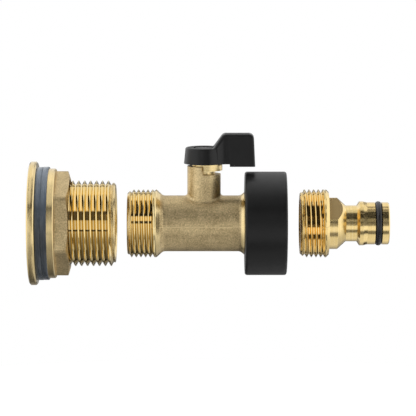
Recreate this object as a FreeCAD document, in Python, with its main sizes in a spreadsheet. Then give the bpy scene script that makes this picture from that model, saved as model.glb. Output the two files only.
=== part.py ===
"""Water butt tap, taken apart along its own axis: flanged tail with seals and nut, lever ball valve, hose connector.

Millimetres, +X along the water's way out, +Z up.  The origin lies on the axis where the butt's wall is clamped,
between the two seals.  Threads are plain cylinders over their crests.
"""

import FreeCAD, Part
import math
import os

import Sketcher

X_AXIS = FreeCAD.Vector(1, 0, 0)
Y_AXIS = FreeCAD.Vector(0, 1, 0)
Z_AXIS = FreeCAD.Vector(0, 0, 1)

# How far a cutting shape runs past the face that it cuts through
OVERSHOOT = 1.0
# A hexagon's corner radius over half its width across flats
HEX_CORNER = 1 / math.cos(math.radians(30))
# Where two lines at 45 degrees meet a circle: radius times this
DIAGONAL = math.sqrt(2)
# Edges are found by their place to within this
NEAR = 0.01

SIZES = [
    ("tail_thread_d", 33.25, "tail: G1 male thread over its crests"),
    ("hose_thread_d", 26.44, "valve inlet and hose connector: G3/4 male thread over its crests"),
    ("thread_gap", 0.2, "radial gap between a male thread and its socket"),
    ("thread_chamfer", 1.5, "bevel on the end of a male thread"),
    ("socket_bevel", 0.6, "bevel at the mouth of a threaded socket"),
    ("flange_d", 48.0, "tail: round flange inside the butt"),
    ("flange_thick", 2.9, "tail: flange thickness"),
    ("flange_bevel", 0.5, "tail: bevel round the flange"),
    ("tail_reach", 28.0, "tail: threaded end, measured from the wall"),
    ("tail_bore_d", 20.4, "tail: water way through the flange"),
    ("tail_socket_depth", 10.8, "tail: G3/4 socket that takes the valve"),
    ("seal_d", 44.2, "rubber seals: outer diameter"),
    ("seal_thick", 2.3, "rubber seals: thickness"),
    ("seal_gap", 0.3, "rubber seals: radial gap over the tail's thread"),
    ("nut_flange_d", 42.6, "nut: round flange"),
    ("nut_flange_thick", 2.6, "nut: flange thickness"),
    ("nut_flange_bevel", 0.35, "nut: bevel round the flange"),
    ("nut_flats", 35.8, "nut: width across flats"),
    ("nut_hex_height", 5.4, "nut: height of the hexagon"),
    ("nut_corner_r", 2.6, "nut: rounding of the hexagon's corners"),
    ("nut_face_d", 35.4, "nut: turned end face"),
    ("nut_bevel_height", 0.9, "nut: bevel from that face to the corners"),
    ("nut_clocking", 6.0, "nut: turn about the axis, in degrees"),
    ("inlet_gap", 4.6, "valve: how far its inlet stands off the tail"),
    ("inlet_reach", 29.65, "valve: stem axis to inlet end"),
    ("inlet_thread_length", 11.2, "valve: length of the inlet thread"),
    ("inlet_bore_d", 17.0, "valve: bore behind the inlet thread"),
    ("inlet_bore_depth", 14.0, "valve: depth of that bore"),
    ("inlet_cone_length", 3.0, "valve: cone from that bore down to the water way"),
    ("shoulder_length", 2.6, "valve: cone from inlet thread to barrel"),
    ("shoulder_r", 2.0, "valve: hollow rounding at both ends of the barrel"),
    ("barrel_d", 21.7, "valve: barrel"),
    ("outlet_reach", 15.55, "valve: stem axis to the barrel's outlet face"),
    ("flare_d", 24.2, "valve: flared outlet end of the barrel"),
    ("flare_length", 1.6, "valve: length of the flare"),
    ("water_way_d", 10.0, "ball, seats and outlet tail: water way"),
    ("ball_d", 16.0, "ball"),
    ("ball_gap", 0.1, "gap between ball and seats"),
    ("cavity_gap", 0.4, "radial gap between ball and barrel"),
    ("seat_back", 0.9, "seats: back face, beyond the ball's end"),
    ("seat_contact_d", 14.4, "seats: outer edge of the sealing cone"),
    ("seat_fit", 0.05, "radial gap round the seats and the outlet tail's spigot"),
    ("slot_width", 4.2, "ball: slot that the stem's tang drives"),
    ("slot_depth", 2.5, "ball: depth of that slot"),
    ("neck_d", 12.9, "valve: neck round the stem"),
    ("neck_root_r", 1.2, "valve: rounding where the neck meets the barrel"),
    ("neck_top", 22.5, "valve: top of the neck's stop wall, above the axis"),
    ("stop_ledge", 19.4, "valve: ledge beside the stop wall, above the axis"),
    ("stop_edge", 0.8, "valve: rounding of the stop wall's upright edges"),
    ("stop_gap", 0.2, "radial gap between stop plate and stop wall"),
    ("stop_play", 1.5, "play between lug and stop wall at each end, in degrees"),
    ("lever_travel", 90.0, "lever: quarter turn from open to shut, in degrees"),
    ("stem_d", 8.4, "stem: shaft"),
    ("stem_gap", 0.1, "radial gap round the stem and its pieces"),
    ("stem_foot_d", 10.4, "stem: flange that keeps it from blowing out"),
    ("stem_foot_z", 8.7, "stem: underside of that flange, above the axis"),
    ("stem_foot_thick", 1.6, "stem: thickness of that flange"),
    ("tang_thick", 4.0, "stem: tang, along the axis"),
    ("tang_width", 7.2, "stem: tang, across the axis"),
    ("tang_depth", 2.9, "stem: tang below the flange"),
    ("stem_shoulder", 20.9, "stem: shoulder that carries the stop plate, above the axis"),
    ("stem_square", 5.4, "stem: square that drives the lever"),
    ("stem_top", 27.0, "stem: top of the square, above the axis"),
    ("thrust_thick", 0.6, "thrust washer: thickness"),
    ("o_ring_thick", 1.14, "stem O-rings: section"),
    ("o_ring_groove", 1.2, "stem: depth of an O-ring groove"),
    ("o_ring_groove_width", 1.8, "stem: width of an O-ring groove"),
    ("o_ring_low_z", 13.6, "stem: middle of the lower groove, above the axis"),
    ("o_ring_high_z", 16.8, "stem: middle of the upper groove, above the axis"),
    ("plate_thick", 2.6, "stop plate: thickness"),
    ("plate_d", 9.2, "stop plate: round part inside the stop wall"),
    ("plate_lug_r", 7.1, "stop plate: reach of the lug"),
    ("plate_lug_sweep", 90.0, "stop plate: angle that the lug spans, in degrees"),
    ("plate_lug_lead", 91.5, "stop plate: angle from the lug's far end to the lever, in degrees"),
    ("hub_d", 15.5, "lever: hub at its foot"),
    ("hub_top_d", 14.3, "lever: hub at its top"),
    ("hub_height", 6.2, "lever: hub"),
    ("hub_edge", 0.7, "lever: rounding of the hub's top edge"),
    ("web_thick", 1.2, "lever: web under the screw's head"),
    ("screw_recess_d", 8.2, "lever: recess for the screw's head"),
    ("paddle_reach", 19.8, "lever: stem axis to the paddle's tip"),
    ("paddle_thick", 8.0, "lever: paddle"),
    ("paddle_root_thick", 13.0, "lever: paddle where it leaves the stem axis"),
    ("paddle_root_r", 6.0, "lever: hollow rounding between hub and paddle"),
    ("paddle_drop", 1.0, "lever: paddle's underside below the hub's"),
    ("paddle_drop_x", 10.0, "lever: stem axis to where that drop starts"),
    ("paddle_rise", 5.4, "lever: paddle's top above the hub's"),
    ("paddle_ramp_x", 3.6, "lever: stem axis to the foot of the ramp"),
    ("paddle_ramp_length", 3.8, "lever: length of the ramp"),
    ("paddle_foot_r", 0.8, "lever: hollow rounding at the foot of the ramp"),
    ("paddle_shoulder_r", 2.0, "lever: rounding at the top of the ramp"),
    ("paddle_draft", 2.6, "lever: draft of the paddle, in degrees"),
    ("paddle_corner", 1.9, "lever: rounding of the upper corner of the paddle's tip"),
    ("paddle_edge", 1.0, "lever: rounding along the paddle's top and tip"),
    ("paddle_wall", 1.8, "lever: wall round the hollow underneath"),
    ("paddle_hollow", 8.0, "lever: depth of the hollow underneath"),
    ("screw_d", 3.8, "lever screw: shank"),
    ("screw_length", 6.0, "lever screw: shank below the web"),
    ("screw_head_d", 7.0, "lever screw: head"),
    ("screw_head_thick", 1.2, "lever screw: head"),
    ("screw_slot", 1.0, "lever screw: driver slot"),
    ("spigot_neck_d", 20.6, "outlet tail: neck that the swivel nut turns on"),
    ("spigot_flange_d", 24.4, "outlet tail: flange that keeps the swivel nut on"),
    ("spigot_flange_thick", 1.8, "outlet tail: thickness of that flange"),
    ("swivel_gap", 0.25, "gap round the swivel nut's lip"),
    ("swivel_lip", 2.5, "swivel nut: lip behind the flange"),
    ("collar_length", 16.2, "collar: overall length"),
    ("collar_d", 40.2, "collar: grip's outer diameter"),
    ("collar_edge", 0.9, "collar: rounding of the grip's edges"),
    ("grip_wall", 3.4, "collar: grip's wall round the nut"),
    ("grip_fit", 0.05, "collar: radial gap between grip and nut"),
    ("grip_end", 1.2, "collar: grip's end wall behind the nut"),
    ("grip_hole_d", 25.0, "collar: hole in that end wall"),
    ("washer_thick", 2.0, "hose washer: thickness"),
    ("washer_bore_d", 13.0, "hose washer: bore"),
    ("connector_gap", 5.2, "connector: how far its thread stands off the collar"),
    ("connector_thread_length", 10.1, "connector: length of the thread"),
    ("connector_rim", 1.0, "connector: bevelled rim behind the thread"),
    ("connector_waist_d", 20.0, "connector: waist with the spanner flats"),
    ("connector_waist_length", 3.3, "connector: length of that waist"),
    ("connector_flats", 16.3, "connector: width across the spanner flats"),
    ("connector_clocking", 38.0, "connector: turn about the axis, in degrees"),
    ("connector_cone_length", 3.3, "connector: cone from waist to neck"),
    ("nose_neck_d", 14.0, "connector: neck that the hose coupling grips"),
    ("nose_neck_length", 4.3, "connector: length of that neck"),
    ("nose_ramp", 1.0, "connector: ramp from neck to bead"),
    ("bead_d", 17.1, "connector: bead"),
    ("bead_length", 1.5, "connector: length of the bead"),
    ("nose_d", 16.4, "connector: nose"),
    ("nose_step", 1.4, "connector: slope from bead to nose"),
    ("nose_land", 3.1, "connector: nose between bead and O-ring"),
    ("nose_groove_d", 12.0, "connector: floor of the O-ring groove"),
    ("nose_groove_width", 2.8, "connector: width of that groove"),
    ("nose_tip", 2.7, "connector: nose beyond the O-ring"),
    ("nose_bevel", 0.4, "connector: bevel on the tip"),
    ("nose_bore_d", 9.4, "connector: bore through the nose"),
    ("connector_bore_d", 19.0, "connector: bore inside the thread"),
    ("connector_bore_depth", 9.0, "connector: depth of that bore"),
    ("connector_bore_cone", 4.0, "connector: cone between the two bores"),
    ("nose_ring_thick", 2.6, "connector's O-ring: section"),
]


class Size:
    """A length that knows both its value and the sheet expression that drives it."""

    def __init__(self, value, text):
        self.value = value
        self.text = text

    def __add__(self, other):
        return Size(self.value + value_of(other), f"({self.text} + {text_of(other)})")

    def __radd__(self, other):
        return Size(other + self.value, f"({other} + {self.text})")

    def __sub__(self, other):
        return Size(self.value - value_of(other), f"({self.text} - {text_of(other)})")

    def __rsub__(self, other):
        return Size(other - self.value, f"({other} - {self.text})")

    def __mul__(self, other):
        return Size(self.value * value_of(other), f"({self.text} * {text_of(other)})")

    def __truediv__(self, other):
        return Size(self.value / value_of(other), f"({self.text} / {text_of(other)})")

    def __neg__(self):
        return Size(-self.value, f"(0 - {self.text})")


def value_of(length):
    return length.value if isinstance(length, Size) else length


def text_of(length):
    return length.text if isinstance(length, Size) else str(length)


def root(length):
    return Size(math.sqrt(length.value), f"sqrt({length.text})")


def cosine(angle):
    return Size(math.cos(math.radians(angle.value)), f"cos({angle.text})")


def sine(angle):
    return Size(math.sin(math.radians(angle.value)), f"sin({angle.text})")


class SizeSheet:
    """The spreadsheet of driving dimensions, with each one as an attribute."""

    def __init__(self, document):
        cells = document.addObject("Spreadsheet::Sheet", "Sizes")
        for row, (alias, value, meaning) in enumerate(SIZES, start=1):
            cells.set(f"A{row}", meaning)
            cells.set(f"B{row}", str(value))
            cells.setAlias(f"B{row}", alias)
            setattr(self, alias, Size(value, f"Sizes.{alias}"))


doc = FreeCAD.newDocument("water_butt_tap")
s = SizeSheet(doc)
doc.recompute()
sub_parts = []


# Helpers: bodies, sketches and features whose sizes are bound to the sheet


def bind(item, **lengths):
    for name, length in lengths.items():
        item.setExpression(name, text_of(length))


def place(item, x=0, y=0, z=0):
    for name, length in (("x", x), ("y", y), ("z", z)):
        if isinstance(length, Size):
            item.setExpression(f"Placement.Base.{name}", length.text)


def turn(item, axis, degrees):
    item.Placement = FreeCAD.Placement(FreeCAD.Vector(), FreeCAD.Rotation(axis, value_of(degrees)))
    if isinstance(degrees, Size):
        item.setExpression("Placement.Rotation.Angle", degrees.text)


def new_body(label, x=0):
    body = doc.addObject("PartDesign::Body", label)
    body.Label = label
    place(body, x=x)
    sub_parts.append(body)
    return body


def new_sketch(body, plane, offset=0):
    sketch = body.newObject("Sketcher::SketchObject", f"{body.Name}_sketch")
    planes = {feature.Role: feature for feature in body.Origin.OriginFeatures}
    sketch.AttachmentSupport = [(planes[plane], "")]
    sketch.MapMode = "FlatFace"
    if isinstance(offset, Size):
        sketch.setExpression("AttachmentOffset.Base.z", offset.text)
    return sketch


def hold_point(sketch, item, end, across=None, up=None):
    """Fixes one point of a line or arc at sheet-driven distances from the sketch's origin."""
    for kind, length in (("DistanceX", across), ("DistanceY", up)):
        if length is not None:
            number = sketch.addConstraint(Sketcher.Constraint(kind, -1, 1, item, end, value_of(length)))
            if isinstance(length, Size):
                sketch.setExpression(f"Constraints[{number}]", length.text)


def outline(sketch, points):
    """Draws a closed outline through sheet-driven points.

    A point's third entry is the centre of an arc that runs on to the next point; without one, a line does.
    """
    corners = [FreeCAD.Vector(value_of(point[0]), value_of(point[1]), 0) for point in points]
    starts, ends = [], []
    for point, corner, following in zip(points, corners, corners[1:] + corners[:1]):
        number, backwards = add_side(sketch, corner, following, point[2:])
        starts.append((number, 2 if backwards else 1))
        ends.append((number, 1 if backwards else 2))
    for end, start in zip(ends, starts[1:] + starts[:1]):
        sketch.addConstraint(Sketcher.Constraint("Coincident", *end, *start))
    for start, point in zip(starts, points):
        hold_point(sketch, *start, across=point[0], up=point[1])
    for (number, _), point in zip(starts, points):
        if len(point) > 2:
            hold_point(sketch, number, 3, across=point[2][0])
    return sketch


def add_side(sketch, corner, following, centre):
    """Adds a line, or an arc about the centre, and says whether the sketch keeps it end to start."""
    if not centre:
        return sketch.addGeometry(Part.LineSegment(corner, following), False), False
    middle = FreeCAD.Vector(value_of(centre[0][0]), value_of(centre[0][1]), 0)
    bulge = (corner + following) / 2 - middle
    top = middle + bulge * ((corner - middle).Length / bulge.Length)
    arc = Part.Arc(corner, top, following)
    backwards = (corner - middle).cross(following - middle).z < 0
    return sketch.addGeometry(arc, False), backwards


def circle(sketch, diameter):
    ring = sketch.addGeometry(Part.Circle(FreeCAD.Vector(), Z_AXIS, value_of(diameter) / 2), False)
    sketch.addConstraint(Sketcher.Constraint("Coincident", ring, 3, -1, 1))
    number = sketch.addConstraint(Sketcher.Constraint("Diameter", ring, value_of(diameter)))
    sketch.setExpression(f"Constraints[{number}]", diameter.text)
    return sketch


def rectangle(sketch, low, high):
    (left, bottom), (right, top) = low, high
    return outline(sketch, [(left, bottom), (right, bottom), (right, top), (left, top)])


def spin(body, points, axis="H_Axis", cut=False):
    """Revolves an outline drawn in the XZ plane: about X by default, about Z with V_Axis."""
    sketch = outline(new_sketch(body, "XZ_Plane"), points)
    kind = "PartDesign::Groove" if cut else "PartDesign::Revolution"
    feature = body.newObject(kind, f"{body.Name}_turned")
    feature.Profile = sketch
    feature.ReferenceAxis = (sketch, [axis])
    feature.Angle = 360
    doc.recompute()
    return feature


def extrude(body, sketch, length, cut=False, **options):
    kind = "PartDesign::Pocket" if cut else "PartDesign::Pad"
    feature = body.newObject(kind, f"{body.Name}_{'cut' if cut else 'pad'}")
    feature.Profile = sketch
    bind(feature, Length=length)
    for name, setting in options.items():
        setattr(feature, name, setting)
    doc.recompute()
    return feature


def round_edges(body, radius, wanted):
    """Fillets the edges of the body's tip that the function wanted picks."""
    tip = body.Tip
    names = [f"Edge{i}" for i, edge in enumerate(tip.Shape.Edges, start=1) if wanted(edge)]
    feature = body.newObject("PartDesign::Fillet", f"{body.Name}_rounded")
    feature.Base = (tip, names)
    bind(feature, Radius=radius)
    doc.recompute()
    return feature


def is_circle(edge, x, diameter):
    """True for a full turned edge of that diameter, at that place along X."""
    box = edge.BoundBox
    flat = box.XLength < NEAR and abs(box.XMin - value_of(x)) < NEAR
    return flat and abs(box.ZLength - value_of(diameter)) < NEAR


def solid(kind, name, **lengths):
    item = doc.addObject(kind, name)
    bind(item, **lengths)
    return item


def combine(kind, label, base, tool):
    item = doc.addObject(kind, label)
    item.Base = base
    item.Tool = tool
    return item


# Places along the axis that several pieces share

tail_r = s.tail_thread_d / 2
hose_r = s.hose_thread_d / 2
socket_r = hose_r + s.thread_gap
stem_x = s.tail_reach + s.inlet_gap + s.inlet_reach
cavity_r = s.ball_d / 2 + s.cavity_gap
fitted_r = cavity_r - s.seat_fit
seat_end = s.ball_d / 2 + s.seat_back
collar_start = s.outlet_reach + s.swivel_gap
lip_start = collar_start + s.grip_end
lip_end = lip_start + s.swivel_lip
spigot_flange = lip_end + s.swivel_gap
washer_start = spigot_flange + s.spigot_flange_thick
collar_end = collar_start + s.collar_length
connector_x = stem_x + collar_end + s.connector_gap
hub_foot = s.stem_shoulder + s.plate_thick
hub_top = hub_foot + s.hub_height
web_low = s.stem_top + s.stem_gap
web_high = web_low + s.web_thick


# The flanged tail, its seals and its nut


def flanged_tail():
    """Turned brass: flange inside the butt, G1 thread through the wall, G3/4 socket in its end."""
    body = new_body("flanged_tail")
    inner_face = -s.seal_thick - s.flange_thick
    rim_r = s.flange_d / 2
    bore_r = s.tail_bore_d / 2
    socket_floor = s.tail_reach - s.tail_socket_depth
    spin(body, [
        (inner_face, bore_r),
        (inner_face, rim_r - s.flange_bevel),
        (inner_face + s.flange_bevel, rim_r),
        (-s.seal_thick - s.flange_bevel, rim_r),
        (-s.seal_thick, rim_r - s.flange_bevel),
        (-s.seal_thick, tail_r),
        (s.tail_reach - s.thread_chamfer, tail_r),
        (s.tail_reach, tail_r - s.thread_chamfer),
        (s.tail_reach, socket_r + s.socket_bevel),
        (s.tail_reach - s.socket_bevel, socket_r),
        (socket_floor, socket_r),
        (socket_floor, bore_r),
    ])


def seal(label, start):
    """Flat rubber washer that slips over the tail's thread."""
    body = new_body(label)
    hole_r = tail_r + s.seal_gap
    end = start + s.seal_thick
    spin(body, [(start, hole_r), (end, hole_r), (end, s.seal_d / 2), (start, s.seal_d / 2)])


def flange_nut():
    """Forged brass nut: round flange against the outer seal, hexagon with turned-off corners."""
    body = new_body("flange_nut")
    hex_start = s.seal_thick + s.nut_flange_thick
    hex_end = hex_start + s.nut_hex_height
    rim_r = s.nut_flange_d / 2
    spin(body, [
        (s.seal_thick, 0),
        (s.seal_thick, rim_r),
        (hex_start - s.nut_flange_bevel, rim_r),
        (hex_start, rim_r - s.nut_flange_bevel),
        (hex_start, 0),
    ])
    flat = s.nut_flats / 2
    corner = flat * HEX_CORNER
    half_side = corner / 2
    hexagon = outline(new_sketch(body, "YZ_Plane", hex_start), [
        (flat, -half_side),
        (flat, half_side),
        (0, corner),
        (-flat, half_side),
        (-flat, -half_side),
        (0, -corner),
    ])
    extrude(body, hexagon, s.nut_hex_height)
    long_edge = s.nut_hex_height.value - NEAR
    round_edges(body, s.nut_corner_r, lambda edge: edge.BoundBox.XLength > long_edge and is_straight(edge))
    face_r = s.nut_face_d / 2
    spin(body, [
        (hex_end - s.nut_bevel_height, corner),
        (hex_end, face_r),
        (hex_end + OVERSHOOT, face_r),
        (hex_end + OVERSHOOT, corner + OVERSHOOT),
        (hex_end - s.nut_bevel_height, corner + OVERSHOOT),
    ], cut=True)
    hole_r = tail_r + s.thread_gap
    spin(body, [
        (s.seal_thick - OVERSHOOT, 0),
        (s.seal_thick - OVERSHOOT, hole_r),
        (hex_end + OVERSHOOT, hole_r),
        (hex_end + OVERSHOOT, 0),
    ], cut=True)
    turn(body, -X_AXIS, s.nut_clocking)


def is_straight(edge):
    return isinstance(edge.Curve, Part.Line)


# The valve: body, ball and seats


def valve_body():
    """Forged brass tee: threaded inlet, barrel, flared outlet, and the stem's neck with its stop wall."""
    body = new_body("valve_body", x=stem_x)
    thread_end = s.inlet_thread_length - s.inlet_reach
    barrel_start = thread_end + s.shoulder_length
    barrel_end = s.outlet_reach - s.flare_length
    barrel_r = s.barrel_d / 2
    spin(body, [
        (-s.inlet_reach, 0),
        (-s.inlet_reach, hose_r - s.thread_chamfer),
        (s.thread_chamfer - s.inlet_reach, hose_r),
        (thread_end, hose_r),
        (barrel_start, barrel_r),
        (barrel_end, barrel_r),
        (s.outlet_reach, s.flare_d / 2),
        (s.outlet_reach, 0),
    ])
    round_edges(body, s.shoulder_r, lambda edge: any(
        is_circle(edge, x, s.barrel_d) for x in (barrel_start, barrel_end)))
    extrude(body, circle(new_sketch(body, "XY_Plane"), s.neck_d), s.stop_ledge)
    round_edges(body, s.neck_root_r, is_neck_root)
    stop_wall(body)
    spin(body, [
        (-s.inlet_reach - OVERSHOOT, 0),
        (-s.inlet_reach - OVERSHOOT, s.inlet_bore_d / 2),
        (s.inlet_bore_depth - s.inlet_reach, s.inlet_bore_d / 2),
        (s.inlet_bore_depth + s.inlet_cone_length - s.inlet_reach, s.water_way_d / 2),
        (-seat_end, s.water_way_d / 2),
        (-seat_end, cavity_r),
        (s.outlet_reach + OVERSHOOT, cavity_r),
        (s.outlet_reach + OVERSHOOT, 0),
    ], cut=True)
    foot_seat = s.stem_foot_z + s.stem_foot_thick + s.thrust_thick + s.stem_gap * 2
    plate_seat_r = s.plate_d / 2 + s.stop_gap
    spin(body, [
        (0, 0),
        (s.stem_foot_d / 2 + s.stem_gap * 2, 0),
        (s.stem_foot_d / 2 + s.stem_gap * 2, foot_seat),
        (s.stem_d / 2 + s.stem_gap, foot_seat),
        (s.stem_d / 2 + s.stem_gap, s.stop_ledge),
        (plate_seat_r, s.stop_ledge),
        (plate_seat_r, s.neck_top + OVERSHOOT),
        (0, s.neck_top + OVERSHOOT),
    ], axis="V_Axis", cut=True)


def is_neck_root(edge):
    """True for the curve where the neck runs into the barrel."""
    box = edge.BoundBox
    barrel_r = s.barrel_d.value / 2
    return box.ZMin > barrel_r / 2 and box.ZMax < barrel_r + NEAR and box.ZLength > NEAR


def stop_wall(body):
    """Adds the part-round wall on the neck's ledge; the lug turns in the gap that it leaves."""
    start = s.plate_lug_sweep - s.plate_lug_lead + s.lever_travel + s.stop_play
    end = 360 - s.plate_lug_lead - s.stop_play
    neck_r = s.neck_d / 2
    inset_r = neck_r - s.stop_edge
    flat = root(inset_r * inset_r - s.stop_edge * s.stop_edge)
    first = (cosine(start) * flat - sine(start) * s.stop_edge, sine(start) * flat + cosine(start) * s.stop_edge)
    last = (cosine(end) * flat + sine(end) * s.stop_edge, sine(end) * flat - cosine(end) * s.stop_edge)
    wall = outline(new_sketch(body, "XY_Plane", s.stop_ledge), [
        (0, 0),
        (cosine(start) * flat, sine(start) * flat, first),
        (first[0] * neck_r / inset_r, first[1] * neck_r / inset_r, (0, 0)),
        (last[0] * neck_r / inset_r, last[1] * neck_r / inset_r, last),
        (cosine(end) * flat, sine(end) * flat),
    ])
    extrude(body, wall, s.neck_top - s.stop_ledge)


def ball():
    """Bored brass ball with the slot that the stem drives."""
    sphere = solid("Part::Sphere", "ball_sphere", Radius=s.ball_d / 2)
    bore = solid("Part::Cylinder", "ball_bore", Radius=s.water_way_d / 2, Height=s.ball_d)
    bore.Placement = FreeCAD.Placement(FreeCAD.Vector(), FreeCAD.Rotation(Y_AXIS, 90))
    place(bore, x=-s.ball_d / 2)
    slot = solid("Part::Box", "ball_slot", Length=s.slot_width, Width=s.ball_d, Height=s.slot_depth)
    place(slot, x=-s.slot_width / 2, y=-s.ball_d / 2, z=s.ball_d / 2 - s.slot_depth)
    item = combine("Part::Cut", "ball", combine("Part::Cut", "ball_bored", sphere, bore), slot)
    place(item, x=stem_x)
    sub_parts.append(item)


def seat(label, side):
    """Plastic ring with a 45 degree cone against the ball; side is -1 at the inlet and 1 at the outlet."""
    body = new_body(label, x=stem_x)
    cone = (s.ball_d / 2 + s.ball_gap) * DIAGONAL
    inner_r = s.water_way_d / 2
    contact_r = s.seat_contact_d / 2
    spin(body, [
        (seat_end * side, inner_r),
        ((cone - inner_r) * side, inner_r),
        ((cone - contact_r) * side, contact_r),
        ((cone - contact_r) * side, fitted_r),
        (seat_end * side, fitted_r),
    ])


def outlet_tail():
    """Turned brass: spigot that closes the barrel on the outlet seat, neck and flange for the swivel nut."""
    body = new_body("outlet_tail", x=stem_x)
    neck_r = s.spigot_neck_d / 2
    spin(body, [
        (seat_end, s.water_way_d / 2),
        (seat_end, fitted_r),
        (s.outlet_reach, fitted_r),
        (s.outlet_reach, neck_r),
        (spigot_flange, neck_r),
        (spigot_flange, s.spigot_flange_d / 2),
        (washer_start, s.spigot_flange_d / 2),
        (washer_start, s.water_way_d / 2),
    ])


# The stem and what turns with it


def stem():
    """Turned brass: tang in the ball's slot, blow-out flange, two O-ring grooves, square for the lever."""
    body = new_body("stem", x=stem_x)
    shaft_r = s.stem_d / 2
    groove_r = shaft_r - s.o_ring_groove
    half_groove = s.o_ring_groove_width / 2
    foot_top = s.stem_foot_z + s.stem_foot_thick
    profile = [
        (0, s.stem_foot_z),
        (s.stem_foot_d / 2, s.stem_foot_z),
        (s.stem_foot_d / 2, foot_top),
        (shaft_r, foot_top),
    ]
    for middle in (s.o_ring_low_z, s.o_ring_high_z):
        profile += [
            (shaft_r, middle - half_groove),
            (groove_r, middle - half_groove),
            (groove_r, middle + half_groove),
            (shaft_r, middle + half_groove),
        ]
    profile += [(shaft_r, s.stem_shoulder), (0, s.stem_shoulder)]
    spin(body, profile, axis="V_Axis")
    tang_low = s.stem_foot_z - s.tang_depth
    tang = rectangle(new_sketch(body, "XY_Plane", tang_low),
                     (-s.tang_thick / 2, -s.tang_width / 2), (s.tang_thick / 2, s.tang_width / 2))
    extrude(body, tang, s.tang_depth)
    half = s.stem_square / 2
    square = rectangle(new_sketch(body, "XY_Plane", s.stem_shoulder), (-half, -half), (half, half))
    extrude(body, square, s.stem_top - s.stem_shoulder)
    tapped = circle(new_sketch(body, "XY_Plane", s.stem_top), s.screw_d + s.stem_gap * 2)
    extrude(body, tapped, s.screw_length + s.stem_gap, cut=True)


def stem_o_ring(label, middle):
    ring_r = s.stem_d / 2 - s.o_ring_groove / 2
    item = solid("Part::Torus", label, Radius1=ring_r, Radius2=s.o_ring_thick / 2)
    item.Label = label
    place(item, x=stem_x, z=middle)
    sub_parts.append(item)


def thrust_washer():
    """Plastic washer between the stem's flange and the neck."""
    body = new_body("thrust_washer", x=stem_x)
    low = s.stem_foot_z + s.stem_foot_thick + s.stem_gap
    spin(body, [
        (s.stem_d / 2 + s.stem_gap, low),
        (s.stem_foot_d / 2 + s.stem_gap, low),
        (s.stem_foot_d / 2 + s.stem_gap, low + s.thrust_thick),
        (s.stem_d / 2 + s.stem_gap, low + s.thrust_thick),
    ], axis="V_Axis")


def stop_plate():
    """Brass plate keyed to the stem; its lug swings between the ends of the stop wall."""
    disc = solid("Part::Cylinder", "plate_disc", Radius=s.plate_d / 2, Height=s.plate_thick)
    lug = solid("Part::Cylinder", "plate_lug", Radius=s.plate_lug_r, Height=s.plate_thick, Angle=s.plate_lug_sweep)
    turn(lug, -Z_AXIS, s.plate_lug_lead)
    hole_width = s.stem_square + s.stem_gap * 2
    hole = solid("Part::Box", "plate_hole", Length=hole_width, Width=hole_width, Height=s.plate_thick)
    place(hole, x=-hole_width / 2, y=-hole_width / 2)
    item = combine("Part::Cut", "stop_plate", combine("Part::Fuse", "plate_blank", disc, lug), hole)
    place(item, x=stem_x, z=s.stem_shoulder)
    sub_parts.append(item)


def lever_handle():
    """Moulded plastic lever: tapered hub, paddle that climbs a ramp, hollow underneath."""
    body = new_body("lever_handle", x=stem_x)
    spin(body, [
        (0, hub_foot),
        (s.hub_d / 2, hub_foot),
        (s.hub_top_d / 2, hub_top),
        (0, hub_top),
    ], axis="V_Axis")
    round_edges(body, s.hub_edge, lambda edge: abs(edge.BoundBox.ZMin - hub_top.value) < NEAR)
    paddle_low = hub_foot - s.paddle_drop
    paddle_top = hub_top + s.paddle_rise
    paddle = extrude(body, paddle_plan(body, paddle_low), paddle_top - paddle_low)
    bind(paddle, TaperAngle=-s.paddle_draft)
    doc.recompute()
    beyond = s.paddle_reach + OVERSHOOT
    extrude(body, ramp_outline(body, beyond, paddle_top), beyond * 2, cut=True, Midplane=True)
    below = rectangle(new_sketch(body, "XZ_Plane"), (-beyond, paddle_low - OVERSHOOT), (s.paddle_drop_x, hub_foot))
    extrude(body, below, beyond * 2, cut=True, Midplane=True)
    round_edges(body, s.paddle_corner, lambda edge: is_paddle_corner(edge, paddle_top.value))
    round_edges(body, s.paddle_edge, lambda edge: is_paddle_edge(edge, paddle_top.value))
    half = s.paddle_thick / 2
    hollow = rectangle(
        new_sketch(body, "XY_Plane", paddle_low),
        (s.paddle_drop_x + s.paddle_wall, s.paddle_wall - half),
        (s.paddle_reach - s.paddle_wall, half - s.paddle_wall))
    extrude(body, hollow, s.paddle_hollow, cut=True, Reversed=True)
    socket_half = s.stem_square / 2 + s.stem_gap
    socket = rectangle(new_sketch(body, "XY_Plane", hub_foot),
                       (-socket_half, -socket_half), (socket_half, socket_half))
    extrude(body, socket, web_low - hub_foot, cut=True, Reversed=True)
    screw_hole_r = s.screw_d / 2 + s.stem_gap
    spin(body, [
        (0, web_low - OVERSHOOT),
        (screw_hole_r, web_low - OVERSHOOT),
        (screw_hole_r, web_high),
        (s.screw_recess_d / 2, web_high),
        (s.screw_recess_d / 2, hub_top + OVERSHOOT),
        (0, hub_top + OVERSHOOT),
    ], axis="V_Axis", cut=True)


def paddle_plan(body, low):
    """The paddle from above: it leaves the hub in two hollow curves that touch both."""
    half_root = s.paddle_root_thick / 2
    half = s.paddle_thick / 2
    hub_r = s.hub_d / 2
    reach = hub_r + s.paddle_root_r
    centre_y = half + s.paddle_root_r
    centre_x = root(reach * reach - centre_y * centre_y)
    hub_x = centre_x * hub_r / reach
    hub_y = centre_y * hub_r / reach
    return outline(new_sketch(body, "XY_Plane", low), [
        (0, -half_root),
        (hub_x, -hub_y, (centre_x, -centre_y)),
        (centre_x, -half),
        (s.paddle_reach, -half),
        (s.paddle_reach, half),
        (centre_x, half, (centre_x, centre_y)),
        (hub_x, hub_y),
        (0, half_root),
    ])


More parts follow.
